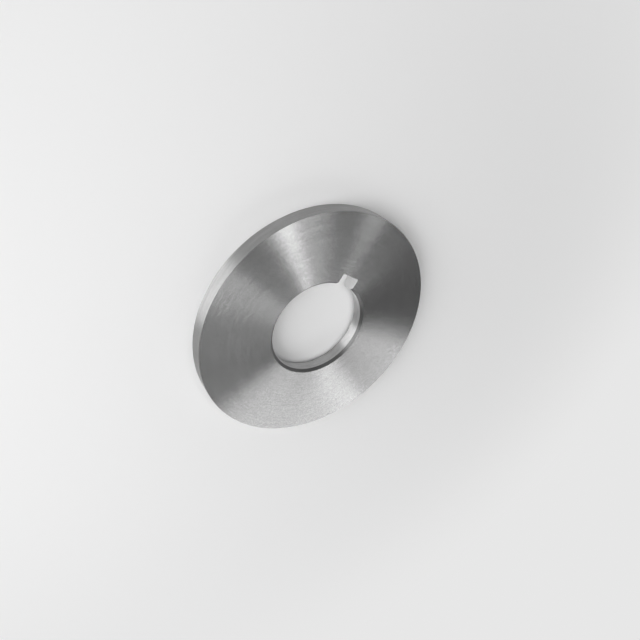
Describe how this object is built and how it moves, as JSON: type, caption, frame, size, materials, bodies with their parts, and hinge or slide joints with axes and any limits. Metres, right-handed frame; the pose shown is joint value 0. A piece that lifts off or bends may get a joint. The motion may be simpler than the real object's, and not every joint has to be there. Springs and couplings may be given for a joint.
{
  "type": "circular slitter knife",
  "caption": "Flat steel ring knife with square sharp rim corners, a chamfered central bore and a rectangular keyway in its wall.",
  "frame": {"origin": "centre of the bore, on the lower ground face that the knife lies on", "axes": "+Z along the bore, up through the thickness; +Y from the bore's axis to the keyway; +X to the right of it"},
  "size_m": [0.2, 0.2, 0.013],
  "materials": {
    "ground_tool_steel": "hardened and ground, fine concentric grinding lines on the faces and satin round the rim"
  },
  "bodies": {
    "root": {"slitter_knife": "ground_tool_steel"}
  },
  "joints": []
}
